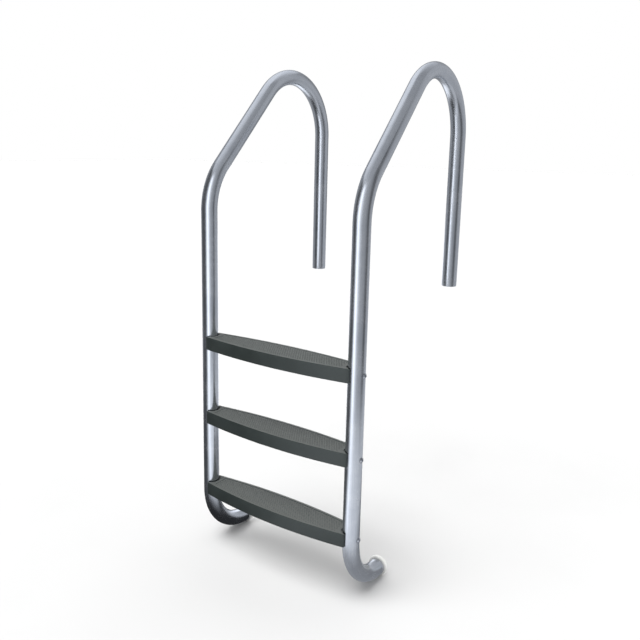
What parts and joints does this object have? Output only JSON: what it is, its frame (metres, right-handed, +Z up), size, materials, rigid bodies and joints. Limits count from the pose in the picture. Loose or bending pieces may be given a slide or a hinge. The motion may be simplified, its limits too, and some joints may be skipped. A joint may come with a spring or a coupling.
{
  "type": "pool ladder",
  "caption": "In-ground pool ladder: bent tube rails with bowed handholds and open deck legs, moulded treads bolted between the uprights, and foot bumpers.",
  "frame": {"origin": "middle of the ladder's bounding box, at the height of its lowest point", "axes": "+X across the treads to the right rail, +Y from the swimmer towards the pool deck, +Z up"},
  "size_m": [0.575, 0.6801, 1.523],
  "materials": {
    "rail_steel": "polished stainless tube with a fine lengthwise grain",
    "tread_plastic": "moulded dark grey-green plastic, pebbled on top",
    "bumper_rubber": "white moulded rubber, satin",
    "fastener_steel": "bright stainless"
  },
  "bodies": {
    "root": {"left_rail": "rail_steel", "right_rail": "rail_steel", "top_tread": "tread_plastic", "middle_tread": "tread_plastic", "bottom_tread": "tread_plastic", "left_foot_bumper": "bumper_rubber", "right_foot_bumper": "bumper_rubber", "top_left_bolt": "fastener_steel", "top_right_bolt": "fastener_steel", "middle_left_bolt": "fastener_steel", "middle_right_bolt": "fastener_steel", "bottom_left_bolt": "fastener_steel", "bottom_right_bolt": "fastener_steel", "top_left_washer": "fastener_steel", "top_right_washer": "fastener_steel", "middle_left_washer": "fastener_steel", "middle_right_washer": "fastener_steel", "bottom_left_washer": "fastener_steel", "bottom_right_washer": "fastener_steel", "top_left_nut": "fastener_steel", "top_right_nut": "fastener_steel", "middle_left_nut": "fastener_steel", "middle_right_nut": "fastener_steel", "bottom_left_nut": "fastener_steel", "bottom_right_nut": "fastener_steel"}
  },
  "joints": []
}
